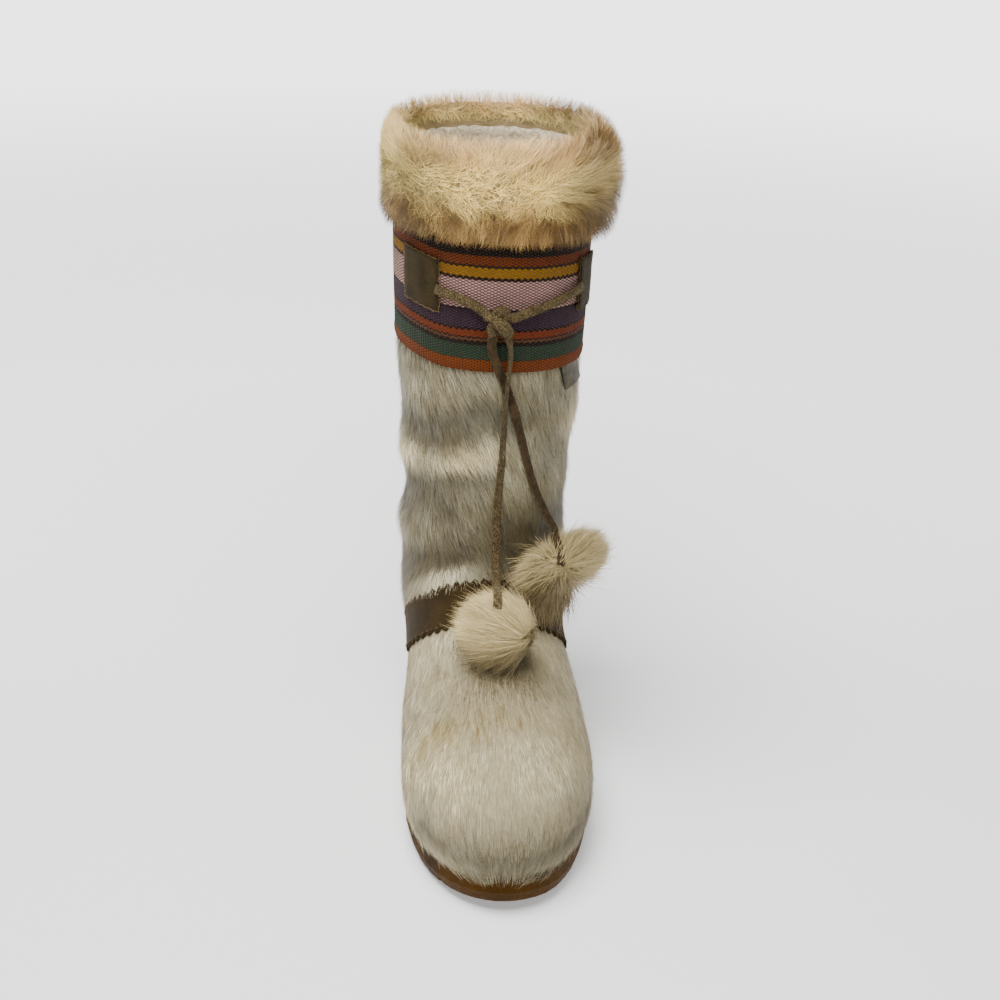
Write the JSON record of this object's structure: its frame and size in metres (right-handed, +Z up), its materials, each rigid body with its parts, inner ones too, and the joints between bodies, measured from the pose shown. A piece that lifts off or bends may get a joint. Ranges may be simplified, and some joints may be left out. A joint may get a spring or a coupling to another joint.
{
  "type": "apres-ski boot",
  "caption": "Mid-calf apres-ski boot in pale hair-on hide with a fur cuff, a striped woven band, a suede ankle strap, a rubber sole and a suede tie with fur pompoms; left foot.",
  "frame": {"origin": "on the floor, under the middle of the boot's box", "axes": "+Z up along the shaft, -Y towards the toe, +X towards the outer side of the left foot"},
  "size_m": [0.1329, 0.28, 0.371],
  "materials": {
    "hide": "matte",
    "rubber": "matte",
    "lining": "matte",
    "woven_tape": "matte",
    "suede": "matte",
    "fur": "matte",
    "lace_suede": "matte",
    "pompom_fur": "matte",
    "ribbon": "matte"
  },
  "bodies": {
    "root": {"outsole": "rubber", "upper": "hide", "insole": "lining", "band": "woven_tape", "ankle_strap": "suede", "tab_inner": "suede", "tab_outer": "suede", "fur_cuff": "fur", "tie_bar_inner": "lace_suede", "tie_bar_outer": "lace_suede", "tie_end_front": "lace_suede", "tie_end_side": "lace_suede", "knot": "lace_suede", "pompom_front": "pompom_fur", "pompom_side": "pompom_fur", "side_label": "ribbon"}
  },
  "joints": []
}
